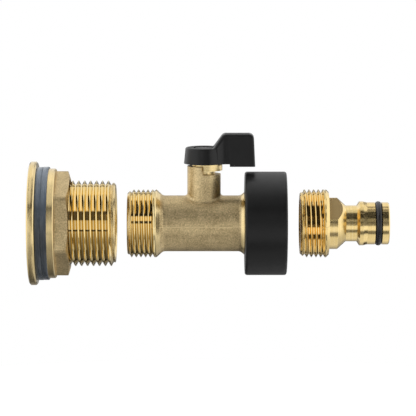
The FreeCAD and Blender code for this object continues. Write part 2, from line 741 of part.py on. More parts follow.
def ramp_outline(body, beyond, top):
    """What is cut away above the hub: the ramp is rounded at its foot and at its shoulder."""
    ramp_top = s.paddle_ramp_x + s.paddle_ramp_length
    slope = root(s.paddle_ramp_length * s.paddle_ramp_length + s.paddle_rise * s.paddle_rise)
    run = s.paddle_ramp_length / slope
    climb = s.paddle_rise / slope
    half_turn = s.paddle_rise / (s.paddle_ramp_length + slope)
    foot = s.paddle_foot_r * half_turn
    shoulder = s.paddle_shoulder_r * half_turn
    return outline(new_sketch(body, "XZ_Plane"), [
        (-beyond, hub_top),
        (s.paddle_ramp_x - foot, hub_top, (s.paddle_ramp_x - foot, hub_top + s.paddle_foot_r)),
        (s.paddle_ramp_x + foot * run, hub_top + foot * climb),
        (ramp_top - shoulder * run, top - shoulder * climb, (ramp_top + shoulder, top - s.paddle_shoulder_r)),
        (ramp_top + shoulder, top),
        (ramp_top + shoulder, top + OVERSHOOT),
        (-beyond, top + OVERSHOOT),
    ])


def is_paddle_corner(edge, top):
    """True for the edge across the paddle's top at its tip."""
    box = edge.BoundBox
    return box.ZMin > top - NEAR and box.XMin > s.paddle_drop_x.value and box.XLength < NEAR


def is_paddle_edge(edge, top):
    """True for the edges along the paddle's top and the two upright edges of its tip."""
    box = edge.BoundBox
    along_top = box.ZMin > top - NEAR and box.XLength > NEAR
    tip = box.XMin > s.paddle_drop_x.value and box.ZLength > s.paddle_rise.value
    return along_top or tip


def handle_screw():
    """Cheese-head screw through the lever's web into the stem."""
    body = new_body("handle_screw", x=stem_x)
    head_top = web_high + s.screw_head_thick
    spin(body, [
        (0, s.stem_top - s.screw_length),
        (s.screw_d / 2, s.stem_top - s.screw_length),
        (s.screw_d / 2, web_high),
        (s.screw_head_d / 2, web_high),
        (s.screw_head_d / 2, head_top),
        (0, head_top),
    ], axis="V_Axis")
    half = s.screw_slot / 2
    slot = rectangle(new_sketch(body, "XY_Plane", head_top), (-s.screw_head_d, -half), (s.screw_head_d, half))
    extrude(body, slot, s.screw_head_thick / 2, cut=True)


# The swivel collar


def swivel_nut():
    """Brass nut whose lip turns behind the outlet tail's flange, with a G3/4 socket for the connector."""
    body = new_body("swivel_nut", x=stem_x)
    nut_r = s.collar_d / 2 - s.grip_wall - s.grip_fit
    lip_r = s.spigot_neck_d / 2 + s.swivel_gap
    spin(body, [
        (lip_start, lip_r),
        (lip_start, nut_r),
        (collar_end, nut_r),
        (collar_end, socket_r + s.socket_bevel),
        (collar_end - s.socket_bevel, socket_r),
        (lip_end, socket_r),
        (lip_end, lip_r),
    ])


def collar_grip():
    """Moulded black grip pressed over the swivel nut."""
    body = new_body("collar_grip", x=stem_x)
    seat_r = s.collar_d / 2 - s.grip_wall
    spin(body, [
        (collar_start, s.grip_hole_d / 2),
        (collar_start, s.collar_d / 2),
        (collar_end, s.collar_d / 2),
        (collar_end, seat_r),
        (lip_start, seat_r),
        (lip_start, s.grip_hole_d / 2),
    ])
    round_edges(body, s.collar_edge, lambda edge: any(
        is_circle(edge, x, s.collar_d) for x in (collar_start, collar_end)))


def hose_washer():
    """Rubber washer that the connector's end is pulled against."""
    body = new_body("hose_washer", x=stem_x)
    start = washer_start + s.seat_fit
    rim_r = hose_r - s.thread_gap / 2
    spin(body, [
        (start, s.washer_bore_d / 2),
        (start, rim_r),
        (start + s.washer_thick, rim_r),
        (start + s.washer_thick, s.washer_bore_d / 2),
    ])


# The hose connector


def hose_connector():
    """Turned brass: G3/4 thread, waist with two spanner flats, neck and nose for a push-on hose coupling."""
    body = new_body("hose_connector", x=connector_x)
    rim = s.connector_thread_length + s.connector_rim
    cone = rim + s.connector_waist_length
    neck = cone + s.connector_cone_length
    ramp = neck + s.nose_neck_length
    bead = ramp + s.nose_ramp
    step = bead + s.bead_length
    land = step + s.nose_step
    groove = land + s.nose_land
    groove_end = groove + s.nose_groove_width
    tip = groove_end + s.nose_tip
    waist_r = s.connector_waist_d / 2
    nose_r = s.nose_d / 2
    spin(body, [
        (0, s.connector_bore_d / 2),
        (0, hose_r - s.thread_chamfer),
        (s.thread_chamfer, hose_r),
        (s.connector_thread_length, hose_r),
        (rim, hose_r - s.connector_rim),
        (rim, waist_r),
        (cone, waist_r),
        (neck, s.nose_neck_d / 2),
        (ramp, s.nose_neck_d / 2),
        (bead, s.bead_d / 2),
        (step, s.bead_d / 2),
        (land, nose_r),
        (groove, nose_r),
        (groove, s.nose_groove_d / 2),
        (groove_end, s.nose_groove_d / 2),
        (groove_end, nose_r),
        (tip - s.nose_bevel, nose_r),
        (tip, nose_r - s.nose_bevel),
        (tip, s.nose_bore_d / 2),
        (s.connector_bore_depth + s.connector_bore_cone, s.nose_bore_d / 2),
        (s.connector_bore_depth, s.connector_bore_d / 2),
    ])
    flat = s.connector_flats / 2
    for side in (-1, 1):
        cheek = rectangle(new_sketch(body, "YZ_Plane", rim),
                          (-s.connector_waist_d, flat * side), (s.connector_waist_d, s.connector_waist_d * side))
        extrude(body, cheek, s.connector_waist_length + s.connector_cone_length, cut=True, Reversed=True)
    turn(body, X_AXIS, s.connector_clocking)
    place(body, x=connector_x)


def connector_o_ring():
    groove = (s.connector_thread_length + s.connector_rim + s.connector_waist_length + s.connector_cone_length
              + s.nose_neck_length + s.nose_ramp + s.bead_length + s.nose_step + s.nose_land)
    ring_r = s.nose_groove_d / 2 + s.nose_ring_thick / 2
    item = solid("Part::Torus", "connector_o_ring", Radius1=ring_r, Radius2=s.nose_ring_thick / 2)
    item.Placement = FreeCAD.Placement(FreeCAD.Vector(), FreeCAD.Rotation(Y_AXIS, 90))
    place(item, x=connector_x + groove + s.nose_groove_width / 2)
    sub_parts.append(item)


def check(items):
    """Stops the build if any object failed, or any sub-part has no sound solid."""
    doc.recompute()
    failed = [item.Name for item in doc.Objects if "Invalid" in item.State or "Error" in item.State]
    unsound = [item.Label for item in items if item.Shape.isNull() or not item.Shape.isValid()]
    if failed or unsound:
        raise RuntimeError(f"failed objects: {failed}; unsound sub-parts: {unsound}")


flanged_tail()
seal("inner_seal", -s.seal_thick)
seal("outer_seal", 0)
flange_nut()
valve_body()
ball()
seat("inlet_seat", -1)
seat("outlet_seat", 1)
outlet_tail()
stem()
stem_o_ring("stem_o_ring_lower", s.o_ring_low_z)
stem_o_ring("stem_o_ring_upper", s.o_ring_high_z)
thrust_washer()
stop_plate()
lever_handle()
handle_screw()
swivel_nut()
collar_grip()
hose_washer()
hose_connector()
connector_o_ring()

check(sub_parts)
os.makedirs("parts", exist_ok=True)
for item in sub_parts:
    item.Shape.exportStep(f"parts/{item.Label}.step")
    print(item.Label, len(item.Shape.Solids), round(item.Shape.Volume, 1))
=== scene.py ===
"""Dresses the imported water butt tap: threads, brass, rubber and plastic finishes, stage and light.

Metres in the row frame: +X along the tap's axis, the way the water runs out, +Z up the valve's stem.
"""

import math
from typing import NamedTuple

import bmesh
import bpy
from bpy.props import FloatProperty, FloatVectorProperty, IntProperty, PointerProperty
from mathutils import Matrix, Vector


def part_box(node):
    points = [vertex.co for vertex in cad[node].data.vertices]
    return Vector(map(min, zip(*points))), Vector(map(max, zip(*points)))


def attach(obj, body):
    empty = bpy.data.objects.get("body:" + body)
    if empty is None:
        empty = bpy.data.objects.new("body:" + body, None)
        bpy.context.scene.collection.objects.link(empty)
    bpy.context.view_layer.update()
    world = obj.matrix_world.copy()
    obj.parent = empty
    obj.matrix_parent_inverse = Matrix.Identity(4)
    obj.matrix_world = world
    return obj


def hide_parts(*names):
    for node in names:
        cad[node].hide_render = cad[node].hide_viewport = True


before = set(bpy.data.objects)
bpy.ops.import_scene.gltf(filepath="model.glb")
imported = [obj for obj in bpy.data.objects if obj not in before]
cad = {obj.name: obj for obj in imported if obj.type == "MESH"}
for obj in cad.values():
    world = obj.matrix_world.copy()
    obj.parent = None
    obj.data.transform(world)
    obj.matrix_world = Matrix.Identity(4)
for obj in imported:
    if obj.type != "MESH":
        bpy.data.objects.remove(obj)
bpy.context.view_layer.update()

bl_info = {
    "name": "Water butt tap",
    "version": (1, 0, 0),
    "blender": (4, 2, 0),
    "location": "View3D > Sidebar > Tap",
    "description": "Threads, finishes and stage of a brass water butt tap drawn apart along its axis",
    "category": "Object",
}

MM = 0.001
TURN = 2 * math.pi
# Vertices closer than this are one vertex
WELD = 3e-6
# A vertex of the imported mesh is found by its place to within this
NEAR = 2e-5
# Edges sharper than this stay crisp under smooth shading
CRISP = math.radians(38)
# The same for turned pieces, whose faces are true right up to their edges
TURNED_CRISP = math.radians(11)
# Steps in a rounded corner, and the most that its rounding takes of a side
CORNER_STEPS = 3
CORNER_SHARE = 0.4
# Share of a turn from +Y, where angles start, to the top
TOP = 0.25
# A stretch that runs to the end of a piece goes past it by this
BEYOND = 1.0 * MM


# Settings that a user would change


def number(name, description, value, **options):
    return FloatProperty(name=name, description=description, default=value, **options)


def length(name, description, millimetres):
    return number(name, description, millimetres * MM, min=0.0, subtype="DISTANCE", unit="LENGTH")


def share(name, description, value):
    return number(name, description, value, min=0.0, max=1.0, subtype="FACTOR")


def tilt(name, description, degrees):
    return number(name, description, math.radians(degrees), subtype="ANGLE")


def power(name, description, watts):
    return number(name, description, watts, min=0.0, unit="POWER")


def count(name, description, value):
    return IntProperty(name=name, description=description, default=value, min=3)


def colour(name, description, red, green, blue):
    return FloatVectorProperty(
        name=name, description=description, default=(red, green, blue), size=3, min=0.0, max=1.0,
        subtype="COLOR")


class ThreadSizes(bpy.types.PropertyGroup):
    """Parallel pipe threads."""

    tail_pitch: length("Tail pitch", "G1 thread of the tail, 11 to the inch", 2.309)
    hose_pitch: length("Hose pitch", "G3/4 threads of the other pieces, 14 to the inch", 1.814)
    height: share("Height", "Thread height over pitch", 0.6446)
    land: share("Land", "Share of crest and root", 1 / 7)
    crown: share("Crown", "Share of the height in the rounding of a crest", 0.0404)
    run_out: share("Run-out", "Length over which a thread fades at its shoulder, over pitch", 0.8)
    tail_crest: length("Tail crest", "Place where a crest of the tail stands uppermost", 11.34)
    valve_crest: length("Valve crest", "Place where a crest of the valve stands uppermost", 33.28)
    connector_crest: length(
        "Connector crest", "Place where a crest of the connector stands uppermost", 101.24)
    columns: count("Columns", "Steps round a turned piece", 160)
    rows: count("Rows", "Steps along one pitch, so that the land ends on a step", 14)


class TailSizes(bpy.types.PropertyGroup):
    """Flanged tail."""

    thread_d: length("Thread", "Male thread over its crests", 33.25)
    end_bevel: length("End bevel", "Bevel on the end of a male thread", 1.5)
    flange_thick: length("Flange", "Thickness of the flange", 2.9)
    flange_bevel: length("Flange bevel", "Bevel round the flange", 0.5)
    bore_d: length("Bore", "Water way through the flange", 20.4)
    socket_d: length("Socket", "Socket over the roots of its thread", 26.84)
    socket_depth: length("Socket depth", "Depth of the socket that takes the valve", 10.8)
    mouth_bevel: length("Mouth bevel", "Bevel at the mouth of a socket", 0.6)
    edge: length("Edge", "Rounding of turned edges", 0.14)


class NutSizes(bpy.types.PropertyGroup):
    """Flanged nut."""

    flange_thick: length("Flange", "Turned flange, from its face", 2.6)


class ValveSizes(bpy.types.PropertyGroup):
    """Threaded inlet of the valve body."""

    thread_d: length("Thread", "Male thread over its crests", 26.44)
    thread_length: length("Thread length", "From the inlet's end to the shoulder", 11.2)
    shoulder_width: length("Shoulder", "Turned stretch behind the thread", 1.6)
    rim_width: length("Rim", "Turned stretch at the outlet's end", 1.2)
    bore_d: length("Bore", "Bore behind the inlet thread", 17.0)
    bore_depth: length("Bore depth", "Depth of that bore", 14.0)
    draw_in: length("Draw-in", "How far the valve goes into the tail", 14.2)
    parting: length("Parting line", "Width of the forging's parting line", 0.5)


class CollarSizes(bpy.types.PropertyGroup):
    """Swivel nut inside the grip."""

    lip_d: length("Lip bore", "Bore of the lip behind the outlet tail's flange", 21.1)
    lip_thick: length("Lip", "Thickness of that lip", 2.5)
    thread_length: length("Thread length", "Threaded part of the socket, in front of the washer", 8.2)


class ConnectorSizes(bpy.types.PropertyGroup):
    """Threaded end of the hose connector."""

    thread_length: length("Thread length", "From the connector's end to the rim", 10.1)
    bore_d: length("Bore", "Bore inside the thread", 19.0)
    bore_depth: length("Bore depth", "Depth of that bore", 9.0)
    draw_in: length("Draw-in", "How far the connector goes into the collar", 13.4)
    flats: length("Flats", "Across the two spanner flats", 16.3)
    flat_tilt: tilt("Flats' tilt", "Front flat above the horizon", 52.0)
    cutter_x: length("Cutter", "Connector's end to the middle of the milling marks", 13.4)
    cutter_marks: length("Milling marks", "From one arc of the milling marks to the next", 0.7)


class SealSizes(bpy.types.PropertyGroup):
    """Cut rubber washers on the tail."""

    edge: length("Edge", "Rounding of the cut edges", 0.25)
    waviness: length("Waviness", "How far the cut edge strays from round", 0.12)
    long_waves: count("Long waves", "Long waves round the cut edge", 3)
    short_waves: count("Short waves", "Short waves round the cut edge", 7)
    hole_gap: length("Hole gap", "Gap between a seal and the tail's thread", 0.3)


class Finishes(bpy.types.PropertyGroup):
    """Colours of the finishes."""

    forged_light: colour("Forged, light", "Shot-blasted brass, light grains", 0.88, 0.70, 0.39)
    forged_dark: colour("Forged, dark", "Shot-blasted brass, dark grains", 0.35, 0.255, 0.125)
    turned_light: colour("Turned, light", "Turned brass", 0.87, 0.70, 0.39)
    turned_dark: colour("Turned, dark", "Turned brass in the tool marks", 0.69, 0.52, 0.23)
    threaded: colour("Threaded", "Flanks of a thread", 0.82, 0.66, 0.34)
    polished_light: colour("Polished, light", "Polished brass", 0.92, 0.72, 0.36)
    polished_dark: colour("Polished, dark", "Polished brass in the tool marks", 0.78, 0.57, 0.22)
    milled: colour("Milled", "Spanner flats of the connector", 0.36, 0.26, 0.12)
    seal: colour("Seal rubber", "Flat seals", 0.046, 0.057, 0.071)
    ring: colour("Ring rubber", "O-rings and hose washer", 0.008, 0.008, 0.009)
    plastic: colour("Plastic", "Lever and collar grip", 0.004, 0.004, 0.004)
    white: colour("White plastic", "Seats and thrust washer", 0.80, 0.80, 0.77)
    chrome: colour("Chrome", "Plated ball", 0.72, 0.73, 0.75)
    zinc: colour("Zinc", "Plated screw", 0.30, 0.30, 0.30)


class StageSettings(bpy.types.PropertyGroup):
    """Floor, light and camera."""

    floor_drop: length("Floor drop", "Floor below the tap's axis", 120.0)
    floor_r: length("Floor", "Radius of the round floor", 330.0)
    floor_colour: colour("Floor colour", "Pale floor", 0.46, 0.455, 0.44)
    camera_distance: length("Camera distance", "Camera to the point that it looks at", 900.0)
    camera_tilt: tilt("Camera height", "Camera above the horizon", 7.5)
    view_width: length("View width", "Width of the view at that point", 161.5)
    target_x: length("Target along the axis", "Point that the camera looks at", 63.8)
    target_z: length("Target above the axis", "Point that the camera looks at", 6.0)
    key_power: power("Key light", "Power of the overhead softbox", 9.0)
    fill_power: power("Fill light", "Power of the softbox on the left", 0.3)


class TapSettings(bpy.types.PropertyGroup):
    """All settings of the tap."""

    threads: PointerProperty(type=ThreadSizes)
    tail: PointerProperty(type=TailSizes)
    nut: PointerProperty(type=NutSizes)
    valve: PointerProperty(type=ValveSizes)
    collar: PointerProperty(type=CollarSizes)
    connector: PointerProperty(type=ConnectorSizes)
    seals: PointerProperty(type=SealSizes)
    finishes: PointerProperty(type=Finishes)
    stage: PointerProperty(type=StageSettings)


def settings():
    return bpy.context.scene.tap


# Turned shapes: rings of vertices about the X axis


def radius_of(vertex):
    return math.hypot(vertex.co.y, vertex.co.z)


def angle_of(vertex):
    return math.atan2(vertex.co.z, vertex.co.y) % TURN


def even_angles(steps):
    return [TURN * step / steps for step in range(steps)]


def add_ring(mesh, x, radius, angles):
    return [mesh.verts.new((x, radius * math.cos(a), radius * math.sin(a))) for a in angles]


def join_rings(mesh, one, other):
    """Quads between two rings that have the same number of vertices."""
    for i, vertex in enumerate(one):
        after = (i + 1) % len(one)
        mesh.faces.new((vertex, one[after], other[after], other[i]))


def zip_rings(mesh, one, other):
    """Triangles between two rings of any number of vertices, each sorted by angle."""
    i = j = 0
    while i < len(one) or j < len(other):
        next_one = angle_of(one[i + 1]) if i + 1 < len(one) else angle_of(one[0]) + TURN
        next_other = angle_of(other[j + 1]) if j + 1 < len(other) else angle_of(other[0]) + TURN
        step_one = j >= len(other) or (i < len(one) and next_one <= next_other)
        a = one[i % len(one)]
        b = other[j % len(other)]
        if step_one:
            i += 1
            mesh.faces.new((a, one[i % len(one)], b))
        else:
            j += 1
            mesh.faces.new((a, other[j % len(other)], b))


def rounded(outline, radius):
    """The outline with its inner corners rounded, each by no more than its shorter side allows."""
    points = [Vector(point) for point in outline]
    result = [points[0]]
    for before, corner, after in zip(points, points[1:], points[2:]):
        back = before - corner
        ahead = after - corner
        reach = min(radius, back.length * CORNER_SHARE, ahead.length * CORNER_SHARE)
        start = corner + back.normalized() * reach
        end = corner + ahead.normalized() * reach
        for step in range(CORNER_STEPS + 1):
            t = step / CORNER_STEPS
            result.append(start * (1 - t) ** 2 + corner * 2 * t * (1 - t) + end * t ** 2)
    return result + [points[-1]]


def lathe(mesh, outline, angles):
    """Turns an open outline of (x, radius) points about the X axis."""
    rings = [add_ring(mesh, x, radius, angles) for x, radius in outline]
    for one, other in zip(rings, rings[1:]):
        join_rings(mesh, one, other)


def finish_piece(mesh, name, body, material, node, crisp=CRISP):
    """Welds and closes a piece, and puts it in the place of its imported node."""
    bmesh.ops.remove_doubles(mesh, verts=mesh.verts, dist=WELD)
    bmesh.ops.recalc_face_normals(mesh, faces=mesh.faces)
    open_edges = sum(1 for edge in mesh.edges if len(edge.link_faces) != 2)
    if open_edges:
        raise RuntimeError(f"{name} has {open_edges} open edges")
    data = bpy.data.meshes.new(name)
    mesh.to_mesh(data)
    mesh.free()
    packed_normals = data.attributes.get("custom_normal")
    if packed_normals:
        data.attributes.remove(packed_normals)
    data.shade_smooth()
    data.set_sharp_from_angle(angle=crisp)
    data.materials.append(material)
    piece = bpy.data.objects.new(name, data)
    bpy.context.scene.collection.objects.link(piece)
    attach(piece, body)
    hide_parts(node)


# Threads: one node tree lays a grid along the helix, cuts its form and bends it round the axis


THREAD_INPUTS = {
    "NodeSocketFloat": (
        "Free end", "Direction", "Length", "Radius", "Bevel", "Flare", "Fade start", "Run-out",
        "Pitch", "Height", "Land", "Crown", "Lead", "First angle",
    ),
    "NodeSocketInt": ("Columns", "Rows"),
    "NodeSocketMaterial": ("Material",),
}
# Sockets of the Mix node: its two inputs and its result
MIX_SOCKETS = {"FLOAT": (2, 3, 0), "RGBA": (6, 7, 2)}


def rgba(value):
    return value if isinstance(value, bpy.types.NodeSocket) else (*value, 1.0)


class Sums:
    """Arithmetic nodes in a tree; each sum gives its output socket."""

    def __init__(self, tree):
        self.tree = tree

    def node(self, kind, *inputs, **options):
        item = self.tree.nodes.new(kind)
        for name, option in options.items():
            setattr(item, name, option)
        for socket, value in zip(item.inputs, inputs):
            self.feed(socket, value)
        return item

    def feed(self, socket, value):
        if isinstance(value, bpy.types.NodeSocket):
            self.tree.links.new(value, socket)
        else:
            socket.default_value = value

    def math(self, operation, *inputs):
        return self.node("ShaderNodeMath", *inputs, operation=operation).outputs[0]

    def add(self, a, b):
        return self.math("ADD", a, b)

    def subtract(self, a, b):
        return self.math("SUBTRACT", a, b)

    def multiply(self, a, b):
        return self.math("MULTIPLY", a, b)

    def divide(self, a, b):
        return self.math("DIVIDE", a, b)

    def ramp(self, value, low, high):
        """0 up to low, 1 from high on, straight between; high may be the lesser."""
        return self.node("ShaderNodeMapRange", value, low, high, 0.0, 1.0).outputs[0]

    def mix(self, kind, factor, a, b):
        item = self.node("ShaderNodeMix", factor, data_type=kind)
        first, second, result = MIX_SOCKETS[kind]
        self.feed(item.inputs[first], a)
        self.feed(item.inputs[second], b)
        return item.outputs[result]

    def mix_colours(self, factor, a, b):
        return self.mix("RGBA", factor, rgba(a), rgba(b))

    def mix_values(self, factor, a, b):
        return self.mix("FLOAT", factor, a, b)


def pipe_thread_tree():
    """Rows of a grid follow the helix, from a pitch before the thread to a pitch past it.

    What hangs over is pressed onto the thread's ends and welded there.
    """
    tree = bpy.data.node_groups.new("Pipe thread", "GeometryNodeTree")
    tree.interface.new_socket("Geometry", in_out="OUTPUT", socket_type="NodeSocketGeometry")
    for kind, names in THREAD_INPUTS.items():
        for name in names:
            tree.interface.new_socket(name, in_out="INPUT", socket_type=kind)
    given = tree.nodes.new("NodeGroupInput").outputs
    sums = Sums(tree)

    far_end = sums.add(given["Free end"], sums.multiply(given["Direction"], given["Length"]))
    low = sums.math("MINIMUM", given["Free end"], far_end)
    high = sums.math("MAXIMUM", given["Free end"], far_end)
    step = sums.divide(given["Pitch"], given["Rows"])
    from_lead = sums.subtract(low, given["Lead"])
    turns_before = sums.math("FLOOR", sums.divide(from_lead, given["Pitch"]))
    first_turn = sums.subtract(turns_before, 1.0)
    first = sums.add(given["Lead"], sums.multiply(given["Pitch"], first_turn))
    span = sums.add(given["Length"], sums.multiply(given["Pitch"], 2.0))
    last_row = sums.math("CEIL", sums.divide(span, step))

    around = sums.add(given["Columns"], 1.0)
    grid = sums.node("GeometryNodeMeshGrid", 1.0, 1.0, sums.add(last_row, 1.0), around)
    position = tree.nodes.new("GeometryNodeInputPosition").outputs[0]
    place = sums.node("ShaderNodeSeparateXYZ", position).outputs
    turn = sums.add(place["Y"], 0.5)
    row = sums.multiply(sums.add(place["X"], 0.5), last_row)
    unwound = sums.add(first, sums.multiply(row, step))
    wound = sums.add(unwound, sums.multiply(given["Pitch"], turn))
    x = sums.math("MINIMUM", sums.math("MAXIMUM", wound, low), high)
    depth = sums.multiply(sums.subtract(x, given["Free end"]), given["Direction"])

    phase = sums.math("FRACT", sums.divide(sums.subtract(unwound, given["Lead"]), given["Pitch"]))
    from_root = sums.multiply(sums.math("ABSOLUTE", sums.subtract(phase, 0.5)), 2.0)
    flank_end = sums.subtract(1.0, given["Land"])
    flank_height = sums.subtract(1.0, given["Crown"])
    on_flank = sums.multiply(sums.ramp(from_root, given["Land"], flank_end), flank_height)
    on_crown = sums.multiply(sums.ramp(from_root, flank_end, 1.0), given["Crown"])
    groove = sums.subtract(1.0, sums.add(on_flank, on_crown))
    fade_end = sums.add(given["Fade start"], given["Height"])
    fade_in = sums.ramp(depth, given["Fade start"], fade_end)
    fade_out = sums.ramp(sums.subtract(given["Length"], depth), 0.0, given["Run-out"])
    full_cut = sums.multiply(given["Height"], groove)
    cut = sums.multiply(full_cut, sums.multiply(fade_in, fade_out))
    bevel = sums.math("MAXIMUM", sums.subtract(given["Bevel"], depth), 0.0)
    flare = sums.math("MAXIMUM", sums.subtract(given["Flare"], depth), 0.0)
    blank = sums.add(sums.subtract(given["Radius"], bevel), flare)
    radius = sums.subtract(blank, cut)

    angle = sums.add(given["First angle"], sums.multiply(turn, TURN))
    y = sums.multiply(radius, sums.math("COSINE", angle))
    z = sums.multiply(radius, sums.math("SINE", angle))
    bent = sums.node("ShaderNodeCombineXYZ", x, y, z).outputs[0]
    moved = sums.node("GeometryNodeSetPosition", grid.outputs[0])
    sums.feed(moved.inputs["Position"], bent)
    welded = sums.node("GeometryNodeMergeByDistance", moved.outputs[0])
    welded.inputs["Distance"].default_value = WELD
    real = sums.node("GeometryNodeRealizeInstances", welded.outputs[0])
    painted = sums.node("GeometryNodeSetMaterial", real.outputs[0])
    sums.feed(painted.inputs["Material"], given["Material"])
    sums.node("NodeGroupOutput", painted.outputs[0])
    return tree


def cut_thread(free_end, direction, thread_length, radius, pitch, crest, material,
               bevel=0.0, flare=0.0, columns=None, first_angle=0.0):
    """Mesh of one thread from its free end inwards.

    A male thread's end is bevelled, a socket's mouth flared.
    """
    form = settings().threads
    height = pitch * form.height
    values = {
        "Free end": free_end,
        "Direction": direction,
        "Length": thread_length,
        "Radius": radius,
        "Bevel": bevel,
        "Flare": flare,
        "Fade start": bevel - height if bevel else flare,
        "Run-out": pitch * form.run_out,
        "Pitch": pitch,
        "Height": height,
        "Land": form.land,
        "Crown": form.crown,
        "Lead": crest - pitch * (TOP - first_angle / TURN),
        "First angle": first_angle,
        "Columns": columns or form.columns,
        "Rows": form.rows,
        "Material": material,
    }
    tree = bpy.data.node_groups.get("Pipe thread") or pipe_thread_tree()
    holder = bpy.data.objects.new("thread", bpy.data.meshes.new("thread"))
    bpy.context.scene.collection.objects.link(holder)
    modifier = holder.modifiers.new("Pipe thread", "NODES")
    modifier.node_group = tree
    for item in tree.interface.items_tree:
        if item.in_out == "INPUT":
            modifier[item.identifier] = values[item.name]
    evaluated = holder.evaluated_get(bpy.context.evaluated_depsgraph_get())
    result = bpy.data.meshes.new_from_object(evaluated)
    holder.modifiers.remove(modifier)
    bpy.data.objects.remove(holder)
    return result


def threaded_copy(node, end, shoulder, thread_r, bore_r, bore_end, crest, material):
    """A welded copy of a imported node, with a real thread for the plain one at its -X end."""
    form = settings().threads
    bevel = settings().tail.end_bevel
    mesh = bmesh.new()
    mesh.from_mesh(cad[node].data)
    bmesh.ops.remove_doubles(mesh, verts=mesh.verts, dist=WELD)
    replaced = [face for face in mesh.faces if is_plain_thread(face, shoulder, bore_r, bore_end)]
    bmesh.ops.delete(mesh, geom=replaced, context="FACES")
    outer = open_ring(mesh, lambda v: abs(radius_of(v) - thread_r) < NEAR)
    inner = open_ring(mesh, lambda v: abs(radius_of(v) - bore_r) < NEAR)
    thread = cut_thread(end, 1.0, shoulder - end, thread_r, form.hose_pitch, crest, material,
                        bevel=bevel, columns=len(outer), first_angle=angle_of(outer[0]))
    mesh.from_mesh(thread)
    bmesh.ops.remove_doubles(mesh, verts=mesh.verts, dist=WELD)
    end_ring = open_ring(mesh, lambda v: abs(v.co.x - end) < NEAR)
    mouth = add_ring(mesh, end, bore_r, [angle_of(v) for v in inner])
    join_rings(mesh, inner, mouth)
    zip_rings(mesh, end_ring, mouth)
    return mesh


def open_ring(mesh, wanted):
    """The vertices of an open rim that are wanted, sorted by angle."""
    rim = {vertex for edge in mesh.edges if edge.is_boundary for vertex in edge.verts}
    return sorted((vertex for vertex in rim if wanted(vertex)), key=angle_of)


def is_plain_thread(face, shoulder, bore_r, bore_end):
    """True for what the real thread replaces: all up to the shoulder, and the bore behind it."""
    places = [(vertex.co.x, radius_of(vertex)) for vertex in face.verts]
    before_shoulder = all(r > bore_r - NEAR and x < shoulder + NEAR for x, r in places)
    in_bore = all(abs(r - bore_r) < NEAR and x < bore_end + NEAR for x, r in places)
    return before_shoulder or in_bore


# Finishes


# Lumps to the metre in a noise, axis by axis where they are drawn out
FORGED_GRAINS = 1900.0
FORGED_PATCHES = 190.0
MARKS_ALONG_X = (5200.0, 60.0, 60.0)
MARKS_ALONG_Z = (60.0, 60.0, 5200.0)
POLISHING_MARKS = (6400.0, 60.0, 60.0)
SEAM_WEAR = (260.0, 0.0, 0.0)
# Detail of a coarse noise and of a fine one
COARSE = 2.0
FINE = 3.0
# A noise lies nearly all between these, about its middle
NOISE_LOW = 0.3
NOISE_MIDDLE = 0.5
NOISE_HIGH = 0.7
# Share of grains in the mottling of a forging; patches have the rest
GRAIN_SHARE = 0.7
# Roughness, from the smoothest spots of a finish to its roughest
FORGED_ROUGHNESS = (0.36, 0.50)
TURNED_ROUGHNESS = (0.19, 0.26)
POLISHED_ROUGHNESS = (0.16, 0.19)
MILLED_ROUGHNESS = 0.5
# Flanks of a thread come off the die smoother than a turned face
THREAD_ROUGHNESS = 0.03
# What a satin face has more than other turned ones
SATIN_ROUGHER = 0.06
# Depth of the relief
FORGED_RELIEF = 0.05 * MM
TURNED_RELIEF = 0.0008 * MM
SATIN_RELIEF = 0.002 * MM
CONNECTOR_RELIEF = 0.008 * MM
# Height of marks as a share of it: on a forging's turned stretches, polished and milled
FORGING_MARKS = 0.05
POLISHED_MARKS = 0.012
MILLED_MARKS = 0.3
# Pale arcs of the milling marks, times the colour of the dark ones
MILLED_PALE = 1.35
# A spanner flat's finish is full this close to its plane, and gone this far off
FLAT_FULL = 0.02 * MM
FLAT_GONE = 0.05 * MM
# A forging's seam is full over this share of its width, and bright where its wear is above this
SEAM_FULL = 0.4
SEAM_BRIGHT = (0.30, 0.52)
SEAM_SHINE = 0.9
# Half the width of the passage from one finish to another
SOFT = 0.15 * MM


class PlainFinish(NamedTuple):
    """One colour, from its darkest to its palest shade; with no noise for shade, grain gives it."""

    colour: str
    dark: float
    pale: float
    grain: tuple
    roughness: tuple
    shade: tuple = ()
    relief: float = 0.0
    metallic: float = 0.0
    specular: float = 0.5


PLAIN_FINISHES = {
    "seal_rubber": PlainFinish(
        "seal", 1.0, 1.56, grain=((2600.0, 150.0, 150.0), FINE), shade=(140.0, FINE),
        roughness=(0.20, 0.30), relief=0.008 * MM, specular=0.6),
    "ring_rubber": PlainFinish(
        "ring", 1.0, 2.0, grain=(900.0, COARSE), roughness=(0.22, 0.34), relief=0.004 * MM),
    "black_plastic": PlainFinish(
        "plastic", 1.0, 1.7, grain=(4200.0, COARSE), shade=(120.0, COARSE),
        roughness=(0.28, 0.38), relief=0.006 * MM, specular=0.35),
    "white_plastic": PlainFinish(
        "white", 0.9, 1.0, grain=(500.0, COARSE), roughness=(0.30, 0.42)),
    "ball_chrome": PlainFinish(
        "chrome", 0.93, 1.0, grain=(800.0, COARSE), roughness=(0.05, 0.10), metallic=1.0),
    "screw_zinc": PlainFinish(
        "zinc", 0.8, 1.0, grain=(1800.0, FINE), roughness=(0.26, 0.40), relief=0.01 * MM,
        metallic=1.0),
}


